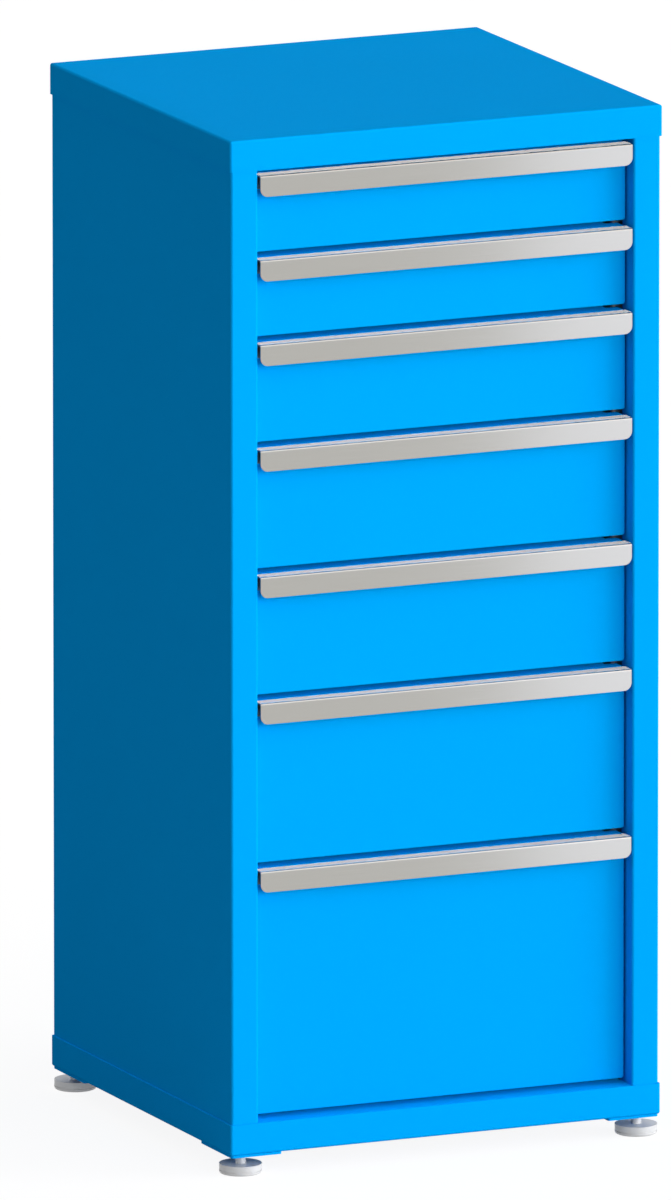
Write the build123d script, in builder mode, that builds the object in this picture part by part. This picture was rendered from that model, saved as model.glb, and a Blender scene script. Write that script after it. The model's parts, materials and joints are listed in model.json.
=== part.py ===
# Seven-drawer steel cabinet on levelling feet: a folded sheet case, slotted uprights,
# full-extension telescopic slides, and drawers with full-width bent handles.
# Millimetres, +Z up, drawer fronts towards -Y, origin on the floor under the middle of the case.

import os

from build123d import *

# Case
case_width = 558.8  # over the skirts of the cap and the base pan
case_depth = 533.4
case_sheet = 1.9
case_bend = 1.0  # inside radius of a bend
skirt_height = 37.5
base_clearance = 25.4  # from the floor to the base pan
flange_width = 34.5  # front flange beside the drawers
flange_return = 32.0  # deeper than the faces of the drawers
rear_flange = 25.0
rail_depth = 48.0
rail_lip = 12.0
back_sheet = 1.2
back_return = 12.0

# Drawer zones, from the top down
module = 25.4
zone_modules = (4, 4, 5, 6, 6, 8, 12)
bottom_gap = 6.0  # from the last front to the bottom rail

# Drawer fronts and handles
front_side_gap = 2.5
front_sheet = 1.5
front_thickness = 18.0
front_corner = 3.0  # lower corners of the face
front_edge = 0.6  # rounding round the face
front_rear_lip = 28.0  # takes the screws of the box
handle_gap = 6.8  # from the top of a zone to its handle
handle_lip = 25.4
handle_reach = 20.8  # from the lip's face to the drawer front
handle_sheet = 2.0
handle_bend = 0.4
handle_corner = 9.5
handle_mount = 19.0  # flange that lies against the drawer front

# Drawer boxes
box_sheet = 1.2
box_bend = 1.0
box_lip = 8.0
box_end_lip = 15.0  # along the rims of the end walls
box_lift = 8.0  # floor of the box above the lower edge of its front
box_rear_gap = 38.0  # to the back panel

# Telescopic slides, side mounted
slide_height = 45.7
slide_thickness = 12.7
slide_sheet = 1.3
slide_bend = 0.7
slide_lift = 40.0  # middle of the slide above the bottom of its zone
slide_front_gap = 2.0  # behind the drawer front
slide_tip_gap = 0.7  # from the flange tips to the drawer box
slide_lip = 2.6  # curled edges that keep the balls in
running_clearance = 0.3
ball_row = 2.4  # height of a row of balls
cage_sheet = 0.8
cage_setback = 1.9  # ball rows behind the flange tips
cage_length = 140.0
cage_end_gap = 30.0  # from the end of the middle member to its cage

# Slotted uprights
upright_sheet = 1.5
upright_bend = 1.0
upright_face = 40.0
upright_foot = 12.0  # weld flanges along the side panel
upright_setback = 5.0  # behind the edge of the opening, seen from the front
upright_inset = 14.0  # from the end of the slide to the upright
slot_pitch_modules = 2
slot_width = 5.0
slot_height = 16.0

# Levelling feet
foot_inset = 22.0  # from the outside of the base pan to the middle of a foot
plate_thickness = 3.0
plate_width = 65.0
plate_length = 92.0
plate_setback = 2.0
plate_corner = 3.0
stud_diameter = 12.7
stud_chamfer = 1.2
thread_clearance = 0.05
nut_across_flats = 19.05
nut_height = 11.0
nut_hole_gap = 1.0
stud_above_nut = 12.0
pad_diameter = 50.8
pad_height = 11.8
pad_edge = 2.6
pad_groove_height = 4.2  # middle of the groove above the floor
pad_groove = 0.9
pad_floor = 4.0  # pad left below the end of the stud

# Heights of the case
base_top_z = base_clearance + skirt_height
opening_height = sum(zone_modules) * module + bottom_gap
cap_bottom_z = base_top_z + opening_height
case_top_z = cap_bottom_z + skirt_height
middle_plane = Plane.XY.offset((base_clearance + case_top_z) / 2)
panel_bottom_z = base_clearance + case_sheet + case_bend
panel_height = case_top_z - case_sheet - case_bend - panel_bottom_z
upright_bottom_z = base_clearance + case_sheet
upright_height = case_top_z - case_sheet - upright_bottom_z

# Case faces: the skirts of the cap and the base pan lap over the outside of the panels
panel_x = case_width / 2 - case_sheet
panel_front_y = -case_depth / 2 + case_sheet
panel_rear_y = case_depth / 2 - case_sheet
opening_x = panel_x - flange_width
back_panel_y = panel_rear_y - case_sheet

# Drawer faces
front_width = 2 * (opening_x - front_side_gap)
handle_front_y = -case_depth / 2
front_face_y = handle_front_y + handle_reach
box_front_y = front_face_y + front_thickness
box_rear_y = back_panel_y - back_sheet - box_rear_gap
slide_plane_x = opening_x - upright_setback
box_x = slide_plane_x - slide_thickness
slide_front_y = box_front_y + slide_front_gap
slide_length = box_rear_y - slide_front_y

# Foot places
foot_x = case_width / 2 - foot_inset
foot_y = case_depth / 2 - foot_inset
stud_top_z = base_clearance + nut_height + stud_above_nut
hole_radius = stud_diameter / 2 + thread_clearance


def folded_sheet(points, sheet, inside_radius, side):
    """Section of a folded sheet: its faces follow the points, the sheet lies on the given side."""
    with BuildLine() as section:
        FilletPolyline(*points, radius=inside_radius + sheet)
        offset(amount=sheet, side=side)
    make_face(section.edges())


def across(y):
    """Upright plane across the cabinet at depth y; a negative extrusion runs towards the back."""
    return Plane.XZ.offset(-y)


def lengthways(x):
    """Upright plane along the depth at width x, with Y to the right."""
    return Plane.YZ.offset(x)


def finish(builder, name):
    """Label a finished piece and write it to its own file."""
    builder.part.label = name
    export_step(builder.part, f"parts/{name}.step")


os.makedirs("parts", exist_ok=True)

# Top cap: a pan with its skirt down
with BuildPart() as top_cap:
    with BuildSketch(Plane.XY.offset(cap_bottom_z)):
        Rectangle(case_width, case_depth)
    extrude(amount=skirt_height)
    cap_edges = top_cap.edges().filter_by(Axis.Z) + top_cap.faces().sort_by(Axis.Z)[-1].edges()
    fillet(cap_edges, radius=case_bend + case_sheet)
    offset(amount=-case_sheet, openings=top_cap.faces().sort_by(Axis.Z)[0])
finish(top_cap, "top_cap")

# Base pan: the same pan turned over, with holes for the feet
with BuildPart() as base_pan:
    mirror(top_cap.part, about=middle_plane)
    with Locations(Plane.XY.offset(upright_bottom_z)):
        with GridLocations(2 * foot_x, 2 * foot_y, 2, 2):
            Hole(radius=nut_across_flats / 3**0.5 + nut_hole_gap, depth=case_sheet)
finish(base_pan, "base_pan")

# Side panels: the front flange and its return frame the drawers, the rear flange takes the back
with BuildPart() as right_side_panel:
    with BuildSketch(Plane.XY.offset(panel_bottom_z)):
        folded_sheet(
            [
                (opening_x, panel_front_y + flange_return),
                (opening_x, panel_front_y),
                (panel_x, panel_front_y),
                (panel_x, panel_rear_y),
                (panel_x - rear_flange, panel_rear_y),
            ],
            case_sheet,
            case_bend,
            Side.LEFT,
        )
    extrude(amount=panel_height)
    # The return stops at the skirts, so the rails reach the flange
    notch_width = case_sheet + case_bend
    for notch_z, notch_height in (
        (panel_bottom_z, base_top_z - panel_bottom_z),
        (cap_bottom_z, panel_bottom_z + panel_height - cap_bottom_z),
    ):
        with BuildSketch(Plane.XY.offset(notch_z)):
            with Locations((opening_x, panel_front_y)):
                Rectangle(notch_width, flange_return, align=Align.MIN)
        extrude(amount=notch_height, mode=Mode.SUBTRACT)
finish(right_side_panel, "right_side_panel")

with BuildPart() as left_side_panel:
    mirror(right_side_panel.part, about=Plane.YZ)
finish(left_side_panel, "left_side_panel")

# Back panel, inside the rear flanges, with its side edges turned in
back_panel_x = panel_x - case_sheet - case_bend
with BuildPart() as back_panel:
    with BuildSketch(Plane.XY.offset(panel_bottom_z)):
        folded_sheet(
            [
                (back_panel_x, back_panel_y - back_return),
                (back_panel_x, back_panel_y),
                (-back_panel_x, back_panel_y),
                (-back_panel_x, back_panel_y - back_return),
            ],
            back_sheet,
            case_bend,
            Side.LEFT,
        )
    extrude(amount=panel_height)
finish(back_panel, "back_panel")

# Front rails behind the skirts: the lower one is the ledge below the last drawer
with BuildPart() as front_rails:
    with BuildSketch(lengthways(0)):
        folded_sheet(
            [
                (panel_front_y, panel_bottom_z),
                (panel_front_y, base_top_z),
                (panel_front_y + rail_depth, base_top_z),
                (panel_front_y + rail_depth, base_top_z - rail_lip),
            ],
            case_sheet,
            case_bend,
            Side.RIGHT,
        )
    extrude(amount=opening_x, both=True)
    mirror(about=middle_plane)
finish(front_rails, "front_rails")

# Slotted uprights: hat sections between the base pan and the cap, on which the slides hang
slot_pitch = slot_pitch_modules * module
slot_count = int(opening_height // slot_pitch)
upright_wall_x = panel_x - case_sheet
front_upright_y = slide_front_y + upright_inset
rear_upright_y = slide_front_y + slide_length - upright_inset - upright_face
with BuildPart() as slotted_uprights:
    for upright_y in (front_upright_y, rear_upright_y):
        with BuildSketch(Plane.XY.offset(upright_bottom_z)):
            folded_sheet(
                [
                    (upright_wall_x, upright_y - upright_foot),
                    (upright_wall_x, upright_y),
                    (slide_plane_x + upright_sheet, upright_y),
                    (slide_plane_x + upright_sheet, upright_y + upright_face),
                    (upright_wall_x, upright_y + upright_face),
                    (upright_wall_x, upright_y + upright_face + upright_foot),
                ],
                upright_sheet,
                upright_bend,
                Side.LEFT,
            )
        extrude(amount=upright_height)
        with BuildSketch(lengthways(slide_plane_x)):
            with Locations((upright_y + upright_face / 2, middle_plane.origin.Z)):
                with GridLocations(0, slot_pitch, 1, slot_count):
                    Rectangle(slot_width, slot_height)
        extrude(amount=upright_sheet, mode=Mode.SUBTRACT)
    mirror(about=Plane.YZ)
finish(slotted_uprights, "slotted_uprights")

# Telescopic slide sections, nested from the upright to the drawer.
# Heights are measured from the middle of the slide, depths from the upright.
cabinet_half = slide_height / 2
outer_cage_half = cabinet_half - slide_sheet - running_clearance
middle_half = outer_cage_half - ball_row - running_clearance
inner_cage_half = middle_half - slide_sheet - running_clearance
drawer_half = inner_cage_half - ball_row - running_clearance
outer_cage_web = slide_sheet + running_clearance
middle_web = outer_cage_web + cage_sheet + running_clearance
inner_cage_web = middle_web + slide_sheet + running_clearance
drawer_tip = inner_cage_web + cage_sheet + running_clearance
flange_tip = slide_thickness - slide_tip_gap
cage_tip = flange_tip - cage_setback
outer_cage_y = slide_front_y + slide_length - cage_end_gap - cage_length
inner_cage_y = slide_front_y + cage_end_gap


def ball_channel(middle_z, web, half):
    """Section of an outer or middle member: a web, two flanges and curled edges round the balls."""
    web_x = slide_plane_x - web
    tip_x = slide_plane_x - flange_tip
    folded_sheet(
        [
            (tip_x, middle_z + half - slide_lip),
            (tip_x, middle_z + half),
            (web_x, middle_z + half),
            (web_x, middle_z - half),
            (tip_x, middle_z - half),
            (tip_x, middle_z - half + slide_lip),
        ],
        slide_sheet,
        slide_bend,
        Side.RIGHT,
    )


def drawer_channel(middle_z):
    """Section of a drawer member: its web on the box, its flanges inside the inner balls."""
    web_x = slide_plane_x - slide_thickness
    tip_x = slide_plane_x - drawer_tip
    folded_sheet(
        [
            (tip_x, middle_z + drawer_half),
            (web_x, middle_z + drawer_half),
            (web_x, middle_z - drawer_half),
            (tip_x, middle_z - drawer_half),
        ],
        slide_sheet,
        slide_bend,
        Side.LEFT,
    )


def ball_cage(middle_z, web, half):
    """Section of a ball cage: a thin web that holds an upper and a lower row of balls."""
    row_width = cage_tip - web
    cage_x = slide_plane_x - web
    with Locations((cage_x, middle_z)):
        Rectangle(cage_sheet, 2 * half, align=(Align.MAX, Align.CENTER))
    for row_z in (half - ball_row / 2, ball_row / 2 - half):
        with Locations((cage_x, middle_z + row_z)):
            Rectangle(row_width, ball_row, align=(Align.MAX, Align.CENTER))


# Zone limits from the top down
zone_tops = [cap_bottom_z - module * sum(zone_modules[:count]) for count in range(len(zone_modules))]
zone_bottoms = [top - module * modules for top, modules in zip(zone_tops, zone_modules)]

# Cabinet members of all the slides, fixed to the uprights
with BuildPart() as cabinet_slides:
    with BuildSketch(across(slide_front_y)):
        for zone_bottom in zone_bottoms:
            ball_channel(zone_bottom + slide_lift, 0, cabinet_half)
    extrude(amount=-slide_length)
    mirror(about=Plane.YZ)
finish(cabinet_slides, "cabinet_slides")

for number, (zone_top, zone_bottom) in enumerate(zip(zone_tops, zone_bottoms), start=1):
    drawer = f"drawer_{number}"
    handle_top = zone_top - handle_gap
    box_bottom = zone_bottom + box_lift
    slide_z = zone_bottom + slide_lift

    # Front: a hollow folded panel, open at the back inside its turned lips
    with BuildPart() as front:
        with BuildSketch(across(front_face_y)) as face:
            with Locations((0, zone_bottom)):
                Rectangle(front_width, handle_top - zone_bottom, align=(Align.CENTER, Align.MIN))
            fillet(face.vertices().group_by(Axis.Z)[0], radius=front_corner)
        extrude(amount=-front_thickness)
        fillet(front.faces().sort_by(Axis.Y)[0].edges(), radius=front_edge)
        with BuildSketch(across(front_face_y + front_sheet)):
            with Locations((0, zone_bottom + front_sheet)):
                Rectangle(
                    front_width - 2 * front_sheet,
                    handle_top - zone_bottom - 2 * front_sheet,
                    align=(Align.CENTER, Align.MIN),
                )
        extrude(amount=2 * front_sheet - front_thickness, mode=Mode.SUBTRACT)
        with BuildSketch(across(box_front_y)):
            with Locations((0, zone_bottom + front_rear_lip)):
                Rectangle(
                    front_width - 2 * front_rear_lip,
                    handle_top - zone_bottom - 2 * front_rear_lip,
                    align=(Align.CENTER, Align.MIN),
                )
        extrude(amount=front_sheet, mode=Mode.SUBTRACT)
    finish(front, f"{drawer}_front")

    # Handle: a bent strip, fixed to the face of the front by its rear flange and flush with its top
    with BuildPart() as handle:
        with BuildSketch(lengthways(0)):
            folded_sheet(
                [
                    (handle_front_y, handle_top - handle_lip),
                    (handle_front_y, handle_top),
                    (front_face_y, handle_top),
                    (front_face_y, handle_top - handle_mount),
                ],
                handle_sheet,
                handle_bend,
                Side.RIGHT,
            )
        extrude(amount=front_width / 2, both=True)
        lip_corners = handle.edges().filter_by(Axis.Y).group_by(Axis.Z)[0]
        fillet(lip_corners, radius=handle_corner)
    finish(handle, f"{drawer}_handle")

    # Box: floor and sides folded from one sheet, with end walls and a rim flush with the front's top
    with BuildPart() as box:
        with BuildSketch(across(box_front_y)):
            folded_sheet(
                [
                    (box_lip - box_x, handle_top),
                    (-box_x, handle_top),
                    (-box_x, box_bottom),
                    (box_x, box_bottom),
                    (box_x, handle_top),
                    (box_x - box_lip, handle_top),
                ],
                box_sheet,
                box_bend,
                Side.LEFT,
            )
        extrude(amount=box_front_y - box_rear_y)
        for wall_y, rim_y, inward in (
            (box_front_y, box_front_y, Align.MIN),
            (box_rear_y - box_sheet, box_rear_y, Align.MAX),
        ):
            with BuildSketch(across(wall_y)) as wall:
                with Locations((0, box_bottom)):
                    Rectangle(2 * box_x, handle_top - box_bottom, align=(Align.CENTER, Align.MIN))
                fillet(wall.vertices(), radius=box_bend + box_sheet)
            extrude(amount=-box_sheet)
            with BuildSketch(Plane.XY.offset(handle_top)):
                with Locations((0, rim_y)):
                    Rectangle(2 * (box_x - box_bend - box_sheet), box_end_lip, align=(Align.CENTER, inward))
            extrude(amount=-box_sheet)
    finish(box, f"{drawer}_box")

    # Drawer members, fixed to the sides of the box
    with BuildPart() as drawer_slides:
        with BuildSketch(across(slide_front_y)):
            drawer_channel(slide_z)
        extrude(amount=-slide_length)
        mirror(about=Plane.YZ)
    finish(drawer_slides, f"{drawer}_drawer_slides")

    # Middle members, which travel half as far as the drawer
    with BuildPart() as middle_slides:
        with BuildSketch(across(slide_front_y)):
            ball_channel(slide_z, middle_web, middle_half)
        extrude(amount=-slide_length)
        mirror(about=Plane.YZ)
    finish(middle_slides, f"{drawer}_middle_slides")

    # Ball cages: the outer ones near the rear of the middle members, the inner ones near the front
    with BuildPart() as ball_cages:
        with BuildSketch(across(outer_cage_y)):
            ball_cage(slide_z, outer_cage_web, outer_cage_half)
        extrude(amount=-cage_length)
        with BuildSketch(across(inner_cage_y)):
            ball_cage(slide_z, inner_cage_web, inner_cage_half)
        extrude(amount=-cage_length)
        mirror(about=Plane.YZ)
    finish(ball_cages, f"{drawer}_ball_cages")

# Foot plates under the corners of the base pan
plate_x = case_width / 2 - plate_setback - plate_width / 2
plate_y = case_depth / 2 - plate_setback - plate_length / 2
with BuildPart() as foot_plates:
    with BuildSketch(Plane.XY.offset(base_clearance)):
        with GridLocations(2 * plate_x, 2 * plate_y, 2, 2):
            RectangleRounded(plate_width, plate_length, plate_corner)
        with GridLocations(2 * foot_x, 2 * foot_y, 2, 2):
            Circle(hole_radius, mode=Mode.SUBTRACT)
    extrude(amount=-plate_thickness)
finish(foot_plates, "foot_plates")

# Weld nuts on the plates, inside the base pan
with BuildPart() as weld_nuts:
    with BuildSketch(Plane.XY.offset(base_clearance)):
        with GridLocations(2 * foot_x, 2 * foot_y, 2, 2):
            RegularPolygon(radius=nut_across_flats / 2, side_count=6, major_radius=False)
            Circle(hole_radius, mode=Mode.SUBTRACT)
    extrude(amount=nut_height)
finish(weld_nuts, "weld_nuts")

# Levelling feet: a stud in each plate, standing in the socket of its pad
for place, x, y in (
    ("front_left", -foot_x, -foot_y),
    ("front_right", foot_x, -foot_y),
    ("rear_left", -foot_x, foot_y),
    ("rear_right", foot_x, foot_y),
):
    with BuildPart() as stud:
        with BuildSketch(Plane((x, y, pad_floor))):
            Circle(stud_diameter / 2)
        extrude(amount=stud_top_z - pad_floor)
        chamfer(stud.edges(), length=stud_chamfer)
    finish(stud, f"{place}_stud")

    with BuildPart() as pad:
        with BuildSketch(Plane((x, y, 0))):
            Circle(pad_diameter / 2)
        extrude(amount=pad_height)
        fillet(pad.edges().group_by(Axis.Z)[0], radius=pad_edge)
        with BuildSketch(Plane((x, y, pad_groove_height - pad_groove / 2))):
            Circle(pad_diameter / 2)
            Circle(pad_diameter / 2 - pad_groove, mode=Mode.SUBTRACT)
        extrude(amount=pad_groove, mode=Mode.SUBTRACT)
        with Locations((x, y, pad_height)):
            Hole(radius=hole_radius, depth=pad_height - pad_floor)
    finish(pad, f"{place}_pad")
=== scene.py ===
# Tall steel drawer cabinet: materials, small hardware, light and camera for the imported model.
# Metres, +Z up, drawer fronts towards -Y.

import json
import math

import bmesh
import bpy
from mathutils import Matrix, Vector

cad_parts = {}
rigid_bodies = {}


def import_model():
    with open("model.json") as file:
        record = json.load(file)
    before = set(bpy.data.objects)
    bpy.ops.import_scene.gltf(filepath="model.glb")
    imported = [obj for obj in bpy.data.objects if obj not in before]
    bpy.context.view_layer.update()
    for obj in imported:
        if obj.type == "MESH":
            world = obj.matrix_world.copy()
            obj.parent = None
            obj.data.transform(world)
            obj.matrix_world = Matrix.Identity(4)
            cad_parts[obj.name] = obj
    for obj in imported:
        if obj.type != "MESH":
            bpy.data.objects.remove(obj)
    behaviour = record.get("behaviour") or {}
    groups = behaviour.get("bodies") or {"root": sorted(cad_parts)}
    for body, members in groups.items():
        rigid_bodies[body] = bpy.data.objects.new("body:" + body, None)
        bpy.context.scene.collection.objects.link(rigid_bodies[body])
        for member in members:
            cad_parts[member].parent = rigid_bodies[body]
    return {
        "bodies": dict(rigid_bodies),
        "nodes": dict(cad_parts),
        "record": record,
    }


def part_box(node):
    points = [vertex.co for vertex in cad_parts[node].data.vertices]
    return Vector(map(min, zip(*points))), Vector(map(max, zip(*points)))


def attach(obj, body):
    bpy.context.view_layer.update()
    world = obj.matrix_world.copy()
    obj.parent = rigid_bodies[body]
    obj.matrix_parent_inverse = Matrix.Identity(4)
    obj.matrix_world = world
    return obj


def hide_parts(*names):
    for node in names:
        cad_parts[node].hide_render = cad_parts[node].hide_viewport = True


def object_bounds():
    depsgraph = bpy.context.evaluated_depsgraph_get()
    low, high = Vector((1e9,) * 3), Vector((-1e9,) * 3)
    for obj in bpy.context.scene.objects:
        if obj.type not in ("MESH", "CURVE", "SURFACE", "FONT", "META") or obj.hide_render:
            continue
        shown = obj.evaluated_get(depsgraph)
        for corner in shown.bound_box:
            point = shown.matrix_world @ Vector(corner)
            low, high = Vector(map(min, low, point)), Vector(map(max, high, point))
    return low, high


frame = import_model()
cad_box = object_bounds()

# Colours, linear: each surface wanders between its two tones
PAINT_BLUE = (0.0, 0.388, 0.955, 1.0)
PAINT_BLUE_LIGHT = (0.0, 0.402, 0.985, 1.0)
HANDLE_METAL = (0.43, 0.422, 0.395, 1.0)
HANDLE_METAL_LIGHT = (0.47, 0.461, 0.432, 1.0)
SLIDE_ZINC = (0.48, 0.49, 0.51, 1.0)
SLIDE_ZINC_LIGHT = (0.61, 0.62, 0.63, 1.0)
HARDWARE_ZINC = (0.66, 0.66, 0.67, 1.0)
HARDWARE_ZINC_LIGHT = (0.76, 0.76, 0.76, 1.0)
CAGE_STEEL = (0.40, 0.40, 0.41, 1.0)
CAGE_STEEL_LIGHT = (0.52, 0.52, 0.53, 1.0)
WHITE = (1.0, 1.0, 1.0, 1.0)

# Surfaces: noise scales per metre, lowest and highest roughness, relief as a depth and a strength
PAINT_GLOSS = 0.001
PAINT_CLOUD_SCALE = 4.0
PAINT_PATCH_SCALE = 90.0
PAINT_ROUGHNESS = (0.5, 0.62)
PEEL_SCALE = 700.0
PEEL_DETAIL = 3.0
PEEL_RELIEF = (0.00025, 0.12)
BRUSH_SCALE = 12.0
BRUSH_STRETCH = 90.0
BRUSH_DETAIL = 4.0
BRUSH_ROUGHNESS = (0.2, 0.26)
BRUSH_RELIEF = (0.0001, 0.06)
PLATE_CLOUD_SCALE = 120.0
PLATE_CLOUD_DETAIL = 4.0
PLATE_ROUGHNESS = (0.28, 0.42)
PLATE_GRAIN_SCALE = 1500.0
PLATE_RELIEF = (0.0001, 0.08)
HARDWARE_METALLIC = 0.2

# Screws: a head's profile is in shares of its radius and height, and places are shares of a length
SCREW_RADIUS = 0.0035
SCREW_HEIGHT = 0.0016
SCREW_PROFILE = ((1.0, 0.0), (1.0, 0.3), (0.93, 0.62), (0.75, 0.9), (0.52, 1.0))
SCREW_SIDES = 24
SOCKET_FLATS = 0.0025
SOCKET_DEPTH = 0.0009
SLIDE_SCREW_PLACES = (0.12, 0.5, 0.88)
FRONT_SCREW_PLACES = (0.1, 0.5, 0.9)
FRONT_SCREW_INSET = 0.012
HANDLE_SCREW_PLACES = (0.06, 0.35, 0.65, 0.94)
HANDLE_SCREW_DROP = 0.011
HANDLE_SHEET = 0.002
BOX_SHEET = 0.0012

# Threads: a turn's profile is in shares of the pitch and of the depth
THREAD_PITCH = 0.0254 / 13  # thirteen turns to the inch
THREAD_DEPTH = 0.0008
THREAD_PROFILE = ((0.0, 0.0), (0.4, 1.0), (0.6, 1.0), (1.0, 0.0))
THREAD_STEPS = 32
MERGE_DISTANCE = 1e-6

# View of the photograph: almost parallel, from the front left and a little above
VIEW_AZIMUTH = math.radians(-24.0)
VIEW_ELEVATION = math.radians(12.0)
VIEW_HEIGHT = 1.4266  # of the frame
VIEW_RIGHT = -0.0225  # from the origin to the middle of the frame
VIEW_UP = 0.6095
VIEW_NEAR = 0.18  # from the origin towards the camera, where the frame has its height
LENS = 945.0
SENSOR = 36.0

# Suns stand this far from the origin
SUN_DISTANCE = 4.0

# Key light: each sun's azimuth and strength; the floor hides the lower half of both
KEY_LAMPS = {"key_front": (math.radians(15.0), 2.3), "key_side": (math.radians(64.0), 4.9)}
KEY_ELEVATION = 0.0
KEY_ANGLE = math.radians(48.0)

# Fill light on the paint alone, direct and without shadows, for the gaps above the handles
FILL_AZIMUTH = math.radians(5.0)
FILL_ELEVATION = math.radians(75.0)
FILL_STRENGTH = 0.43

# Lamps that show only in reflections, and so in the metal
SHEEN_AZIMUTH = math.radians(30.0)
SHEEN_ELEVATION = math.radians(42.0)
SHEEN_ANGLE = math.radians(56.0)
SHEEN_STRENGTH = 0.55
PANEL_DISTANCE = 0.8  # in front of the cabinet
PANEL_EDGE = 0.46  # from the cabinet's middle to the panel's near side
PANEL_SIZE = (0.9, 1.5)
PANEL_POWER = 3.1
PANEL_COLOUR = (0.84, 0.89, 1.1)
SHINE_AZIMUTH = math.radians(156.0)  # behind, where the handles' level faces mirror it
SHINE_ELEVATION = math.radians(13.0)
SHINE_DISTANCE = 25.0
SHINE_SIZE = (1.6, 7.0)
SHINE_POWER = 45.0

# World and floor
AMBIENT = 0.325
FLOOR_SIZE = 60.0
FLOOR_PALE = (0.52, 0.52, 0.52, 1.0)  # as it lights the object
FLOOR_GREY = (0.2, 0.2, 0.2, 1.0)  # as it is seen, on top of its glow
FLOOR_GLOW = 0.9


# Material parts
def new_material(name):
    """A material with its node tree and its main shader."""
    material = bpy.data.materials.new(name)
    material.use_nodes = True
    tree = material.node_tree
    return material, tree, tree.nodes["Principled BSDF"]


def noise(tree, scale, stretch=(1.0, 1.0, 1.0), detail=2.0):
    """Noise in the piece's own coordinates, stretched along chosen axes."""
    coordinates = tree.nodes.new("ShaderNodeTexCoord")
    mapping = tree.nodes.new("ShaderNodeMapping")
    mapping.inputs["Scale"].default_value = stretch
    texture = tree.nodes.new("ShaderNodeTexNoise")
    texture.inputs["Scale"].default_value = scale
    texture.inputs["Detail"].default_value = detail
    tree.links.new(coordinates.outputs["Object"], mapping.inputs["Vector"])
    tree.links.new(mapping.outputs["Vector"], texture.inputs["Vector"])
    return texture.outputs["Fac"]


def vary_colour(tree, shader, factor, first, second):
    """Base colour that goes from one tone to another."""
    mix = tree.nodes.new("ShaderNodeMix")
    mix.data_type = "RGBA"
    mix.inputs["A"].default_value = first
    mix.inputs["B"].default_value = second
    tree.links.new(factor, mix.inputs["Factor"])
    tree.links.new(mix.outputs["Result"], shader.inputs["Base Color"])


def vary_roughness(tree, shader, factor, low, high):
    """Roughness that wanders between two values."""
    span = tree.nodes.new("ShaderNodeMapRange")
    span.inputs["To Min"].default_value = low
    span.inputs["To Max"].default_value = high
    tree.links.new(factor, span.inputs["Value"])
    tree.links.new(span.outputs["Result"], shader.inputs["Roughness"])


def add_bump(tree, shader, factor, depth, strength):
    """Fine relief of the given depth."""
    bump = tree.nodes.new("ShaderNodeBump")
    bump.inputs["Distance"].default_value = depth
    bump.inputs["Strength"].default_value = strength
    tree.links.new(factor, bump.inputs["Height"])
    tree.links.new(bump.outputs["Normal"], shader.inputs["Normal"])


def powder_coat(name):
    """Matt powder coat with its faint orange peel."""
    material, tree, shader = new_material(name)
    shader.inputs["Specular IOR Level"].default_value = PAINT_GLOSS
    vary_colour(tree, shader, noise(tree, PAINT_CLOUD_SCALE), PAINT_BLUE, PAINT_BLUE_LIGHT)
    vary_roughness(tree, shader, noise(tree, PAINT_PATCH_SCALE), *PAINT_ROUGHNESS)
    add_bump(tree, shader, noise(tree, PEEL_SCALE, detail=PEEL_DETAIL), *PEEL_RELIEF)
    return material


def brushed_metal(name, dark, light, along):
    """Metal with fine brush marks along one axis."""
    material, tree, shader = new_material(name)
    shader.inputs["Metallic"].default_value = 1.0
    stretch = [1.0 if axis == along else BRUSH_STRETCH for axis in "XYZ"]
    marks = noise(tree, BRUSH_SCALE, stretch=stretch, detail=BRUSH_DETAIL)
    vary_colour(tree, shader, marks, dark, light)
    vary_roughness(tree, shader, marks, *BRUSH_ROUGHNESS)
    add_bump(tree, shader, marks, *BRUSH_RELIEF)
    return material


def plated_steel(name, dark, light, metallic=1.0):
    """Plated or plain steel, faintly clouded."""
    material, tree, shader = new_material(name)
    shader.inputs["Metallic"].default_value = metallic
    clouds = noise(tree, PLATE_CLOUD_SCALE, detail=PLATE_CLOUD_DETAIL)
    vary_colour(tree, shader, clouds, dark, light)
    vary_roughness(tree, shader, clouds, *PLATE_ROUGHNESS)
    add_bump(tree, shader, noise(tree, PLATE_GRAIN_SCALE), *PLATE_RELIEF)
    return material


# Materials by slot
materials = {
    "case_paint": powder_coat("case_paint_coat"),
    "box_paint": powder_coat("box_paint_coat"),
    "handle_metal": brushed_metal("handle_brushed", HANDLE_METAL, HANDLE_METAL_LIGHT, "X"),
    "slide_steel": plated_steel("slide_zinc", SLIDE_ZINC, SLIDE_ZINC_LIGHT),
    "cage_steel": plated_steel("cage_plain", CAGE_STEEL, CAGE_STEEL_LIGHT),
    "zinc_steel": plated_steel("hardware_zinc", HARDWARE_ZINC, HARDWARE_ZINC_LIGHT, HARDWARE_METALLIC),
}
node_slots = {subpart["node"]: subpart["material_slot"] for subpart in frame["record"]["subparts"]}
for name, slot in node_slots.items():
    node = frame["nodes"][name]
    node.data.materials.clear()
    node.data.materials.append(materials[slot])


# Mesh parts
def add_piece(name, mesh, body, slot):
    """A finished mesh as a piece that rides on a body."""
    mesh.normal_update()
    data = bpy.data.meshes.new(name)
    mesh.to_mesh(data)
    mesh.free()
    piece = bpy.data.objects.new(name, data)
    bpy.context.scene.collection.objects.link(piece)
    data.materials.append(materials[slot])
    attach(piece, body)
    return piece


def add_rings(mesh, rings):
    """Loft through rings of points, closed at both ends."""
    loops = [[mesh.verts.new(point) for point in ring] for ring in rings]
    for lower, upper in zip(loops, loops[1:]):
        for index, corner in enumerate(lower):
            after = (index + 1) % len(lower)
            face = mesh.faces.new((corner, lower[after], upper[after], upper[index]))
            face.smooth = True
    mesh.faces.new(reversed(loops[0]))
    mesh.faces.new(loops[-1])


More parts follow.
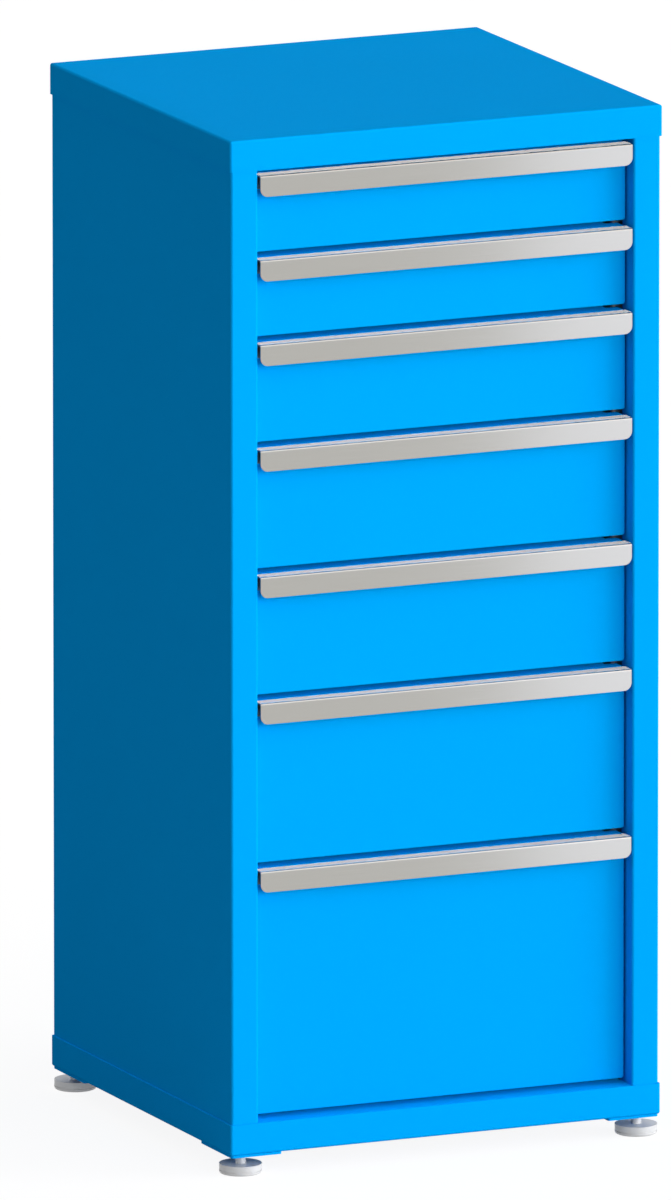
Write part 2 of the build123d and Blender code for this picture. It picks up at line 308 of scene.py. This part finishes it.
def circle_ring(radius, height):
    """Points of a circle at a height."""
    turns = [2 * math.pi * side / SCREW_SIDES for side in range(SCREW_SIDES)]
    return [Vector((radius * math.cos(turn), radius * math.sin(turn), height)) for turn in turns]


def hexagon_ring(flats, height):
    """Points round a hexagon at a height, as many as on a circle."""
    points = []
    for side in range(SCREW_SIDES):
        turn = 2 * math.pi * side / SCREW_SIDES
        radius = flats / 2 / math.cos(turn % (math.pi / 3) - math.pi / 6)
        points.append(Vector((radius * math.cos(turn), radius * math.sin(turn), height)))
    return points


def add_screw(mesh, place, facing):
    """Button head with a hexagon socket, standing on a face."""
    move = Matrix.Translation(place) @ facing.to_track_quat("Z", "Y").to_matrix().to_4x4()
    rings = [circle_ring(SCREW_RADIUS * across, SCREW_HEIGHT * up) for across, up in SCREW_PROFILE]
    rings.append(hexagon_ring(SOCKET_FLATS, SCREW_HEIGHT))
    rings.append(hexagon_ring(SOCKET_FLATS, SCREW_HEIGHT - SOCKET_DEPTH))
    add_rings(mesh, [[move @ point for point in ring] for ring in rings])


def spread(low, high, shares):
    """Places at the given shares of a length."""
    return [low + share * (high - low) for share in shares]


def add_thread(mesh, axis, low, high, radius):
    """A stud with a helical thread, which fades in and out over its end turns."""
    steps = int((high - low) / THREAD_PITCH * THREAD_STEPS) - THREAD_STEPS
    root = radius - THREAD_DEPTH
    rows = []
    for step in range(steps + 1):
        turn = 2 * math.pi * step / THREAD_STEPS
        start = low + THREAD_PITCH * step / THREAD_STEPS
        fade = min(1.0, step / THREAD_STEPS, (steps - step) / THREAD_STEPS)
        row = []
        for along, out in THREAD_PROFILE:
            reach = root + out * THREAD_DEPTH * fade
            x = axis.x + reach * math.cos(turn)
            y = axis.y + reach * math.sin(turn)
            row.append(mesh.verts.new((x, y, start + along * THREAD_PITCH)))
        rows.append(row)
    for before, after in zip(rows, rows[1:]):
        for index in range(len(THREAD_PROFILE) - 1):
            face = mesh.faces.new((before[index], after[index], after[index + 1], before[index + 1]))
            face.smooth = True
    bmesh.ops.remove_doubles(mesh, verts=mesh.verts, dist=MERGE_DISTANCE)
    bmesh.ops.holes_fill(mesh, edges=[edge for edge in mesh.edges if edge.is_boundary])


# Screws of each drawer: box to slides, box to front, handle to front
drawers = sorted(name for name in frame["bodies"] if name.startswith("drawer_") and name.count("_") == 1)
for drawer in drawers:
    slide_low, slide_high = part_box(f"{drawer}_drawer_slides")
    box_low, box_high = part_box(f"{drawer}_box")
    handle_low, handle_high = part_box(f"{drawer}_handle")

    mesh = bmesh.new()
    slide_z = (slide_low.z + slide_high.z) / 2
    for screw_y in spread(slide_low.y, slide_high.y, SLIDE_SCREW_PLACES):
        add_screw(mesh, Vector((box_low.x + BOX_SHEET, screw_y, slide_z)), Vector((1, 0, 0)))
        add_screw(mesh, Vector((box_high.x - BOX_SHEET, screw_y, slide_z)), Vector((-1, 0, 0)))
    add_piece(f"{drawer}_slide_screws", mesh, drawer, "zinc_steel")

    mesh = bmesh.new()
    for screw_x in spread(box_low.x, box_high.x, FRONT_SCREW_PLACES):
        for screw_z in (box_low.z + FRONT_SCREW_INSET, box_high.z - FRONT_SCREW_INSET):
            add_screw(mesh, Vector((screw_x, box_low.y + BOX_SHEET, screw_z)), Vector((0, 1, 0)))
    add_piece(f"{drawer}_front_screws", mesh, drawer, "zinc_steel")

    mesh = bmesh.new()
    for screw_x in spread(handle_low.x, handle_high.x, HANDLE_SCREW_PLACES):
        place = Vector((screw_x, handle_high.y - HANDLE_SHEET, handle_high.z - HANDLE_SCREW_DROP))
        add_screw(mesh, place, Vector((0, -1, 0)))
    add_piece(f"{drawer}_handle_screws", mesh, drawer, "zinc_steel")

# Threaded studs of the levelling feet
for foot in (name for name in frame["bodies"] if name.endswith("_foot")):
    stud_node = foot.replace("_foot", "_stud")
    low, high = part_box(stud_node)
    mesh = bmesh.new()
    add_thread(mesh, (low + high) / 2, low.z, high.z, (high.x - low.x) / 2)
    thread = add_piece(foot.replace("_foot", "_threaded_stud"), mesh, foot, "zinc_steel")
    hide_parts(stud_node)


# World: white to the eye and in reflections, plain light otherwise
def seen_directly(tree):
    """One where a ray comes from the camera, a reflection or a transmission."""
    path = tree.nodes.new("ShaderNodeLightPath")
    total = path.outputs["Is Camera Ray"]
    for name in ("Is Glossy Ray", "Is Transmission Ray"):
        larger = tree.nodes.new("ShaderNodeMath")
        larger.operation = "MAXIMUM"
        tree.links.new(total, larger.inputs[0])
        tree.links.new(path.outputs[name], larger.inputs[1])
        total = larger.outputs["Value"]
    return total


world = bpy.data.worlds.new("studio")
world.use_nodes = True
world_tree = world.node_tree
ambient = world_tree.nodes["Background"]
ambient.inputs["Color"].default_value = WHITE
ambient.inputs["Strength"].default_value = AMBIENT
backdrop = world_tree.nodes.new("ShaderNodeBackground")
backdrop.inputs["Color"].default_value = WHITE
choice = world_tree.nodes.new("ShaderNodeMixShader")
world_tree.links.new(seen_directly(world_tree), choice.inputs["Fac"])
world_tree.links.new(ambient.outputs["Background"], choice.inputs[1])
world_tree.links.new(backdrop.outputs["Background"], choice.inputs[2])
world_tree.links.new(choice.outputs["Shader"], world_tree.nodes["World Output"].inputs["Surface"])
bpy.context.scene.world = world

# Floor: it glows nearly white to the eye, and its grey keeps the object's shadow
floor_mesh = bmesh.new()
bmesh.ops.create_grid(floor_mesh, x_segments=1, y_segments=1, size=FLOOR_SIZE / 2)
floor_data = bpy.data.meshes.new("floor")
floor_mesh.to_mesh(floor_data)
floor_mesh.free()
floor = bpy.data.objects.new("floor", floor_data)
bpy.context.scene.collection.objects.link(floor)
floor.location.z = cad_box[0].z
floor_material, floor_tree, floor_shader = new_material("floor_white")
floor_shader.inputs["Roughness"].default_value = 1.0
floor_shader.inputs["Specular IOR Level"].default_value = 0.0
floor_seen = seen_directly(floor_tree)
vary_colour(floor_tree, floor_shader, floor_seen, FLOOR_PALE, FLOOR_GREY)
glow = floor_tree.nodes.new("ShaderNodeEmission")
glow.inputs["Color"].default_value = WHITE
glow_level = floor_tree.nodes.new("ShaderNodeMath")
glow_level.operation = "MULTIPLY"
glow_level.inputs[1].default_value = FLOOR_GLOW
floor_tree.links.new(floor_seen, glow_level.inputs[0])
floor_tree.links.new(glow_level.outputs["Value"], glow.inputs["Strength"])
both = floor_tree.nodes.new("ShaderNodeAddShader")
floor_tree.links.new(floor_shader.outputs["BSDF"], both.inputs[0])
floor_tree.links.new(glow.outputs["Emission"], both.inputs[1])
floor_tree.links.new(both.outputs["Shader"], floor_tree.nodes["Material Output"].inputs["Surface"])
floor_data.materials.append(floor_material)


# Lamp parts
def direction(azimuth, elevation):
    """Unit vector from the object towards an azimuth and an elevation, with 0 at the front."""
    level = math.cos(elevation)
    return Vector((math.sin(azimuth) * level, -math.cos(azimuth) * level, math.sin(elevation)))


def add_lamp(name, kind, place, facing):
    """A lamp at a place, shining against the facing direction."""
    lamp = bpy.data.objects.new(name, bpy.data.lights.new(name, kind))
    bpy.context.scene.collection.objects.link(lamp)
    lamp.location = place
    lamp.rotation_euler = facing.to_track_quat("Z", "Y").to_euler()
    return lamp


def add_sun(name, azimuth, elevation, strength):
    """A sun that shines from a direction."""
    facing = direction(azimuth, elevation)
    sun = add_lamp(name, "SUN", facing * SUN_DISTANCE, facing)
    sun.data.energy = strength
    return sun


def add_panel(name, place, facing, size, power):
    """A rectangular lamp that shows only in reflections."""
    panel = add_lamp(name, "AREA", place, facing)
    panel.data.shape = "RECTANGLE"
    panel.data.size, panel.data.size_y = size
    panel.data.energy = power
    panel.visible_camera = False
    panel.visible_diffuse = False
    return panel


def node_group(name, nodes):
    """A collection of nodes that a lamp is limited to."""
    group = bpy.data.collections.new(name)
    for node in nodes:
        group.objects.link(frame["nodes"][node])
    return group


# Lamps
for name, (azimuth, strength) in KEY_LAMPS.items():
    key = add_sun(name, azimuth, KEY_ELEVATION, strength)
    key.data.angle = KEY_ANGLE
    key.visible_glossy = False

painted = node_group("painted", [node for node, slot in node_slots.items() if slot.endswith("_paint")])
fill = add_sun("gap_fill", FILL_AZIMUTH, FILL_ELEVATION, FILL_STRENGTH)
fill.data.use_shadow = False
fill.data.cycles.max_bounces = 0
fill.data.cycles.use_multiple_importance_sampling = False
fill.visible_glossy = False
fill.light_linking.receiver_collection = painted

sheen = add_sun("metal_sheen", SHEEN_AZIMUTH, SHEEN_ELEVATION, SHEEN_STRENGTH)
sheen.data.angle = SHEEN_ANGLE
sheen.visible_diffuse = False

panel_place = Vector((PANEL_EDGE + PANEL_SIZE[0] / 2, cad_box[0].y - PANEL_DISTANCE, PANEL_SIZE[1] / 2))
panel = add_panel("metal_panel", panel_place, Vector((0, -1, 0)), PANEL_SIZE, PANEL_POWER)
panel.data.color = PANEL_COLOUR

handles = node_group("handles", [f"{drawer}_handle" for drawer in drawers])
shine_facing = direction(SHINE_AZIMUTH, SHINE_ELEVATION)
shine_place = (cad_box[0] + cad_box[1]) / 2 + shine_facing * SHINE_DISTANCE
shine = add_panel("handle_shine", shine_place, shine_facing, SHINE_SIZE, SHINE_POWER)
shine.data.cycles.use_multiple_importance_sampling = False
shine.light_linking.receiver_collection = handles
shine.light_linking.blocker_collection = handles

# Camera
view_back = direction(VIEW_AZIMUTH, VIEW_ELEVATION)
view_right = Vector((math.cos(VIEW_AZIMUTH), math.sin(VIEW_AZIMUTH), 0))
view_up = view_back.cross(view_right)
view_centre = view_right * VIEW_RIGHT + view_up * VIEW_UP
view_distance = VIEW_HEIGHT * LENS / SENSOR
camera = bpy.data.objects.new("camera", bpy.data.cameras.new("camera"))
bpy.context.scene.collection.objects.link(camera)
camera.data.lens = LENS
camera.data.sensor_width = SENSOR
camera.data.clip_end = 2 * view_distance
camera.location = view_centre + view_back * (VIEW_NEAR + view_distance)
camera.rotation_euler = view_back.to_track_quat("Z", "Y").to_euler()
bpy.context.scene.camera = camera

bpy.context.scene.view_settings.view_transform = "Standard"
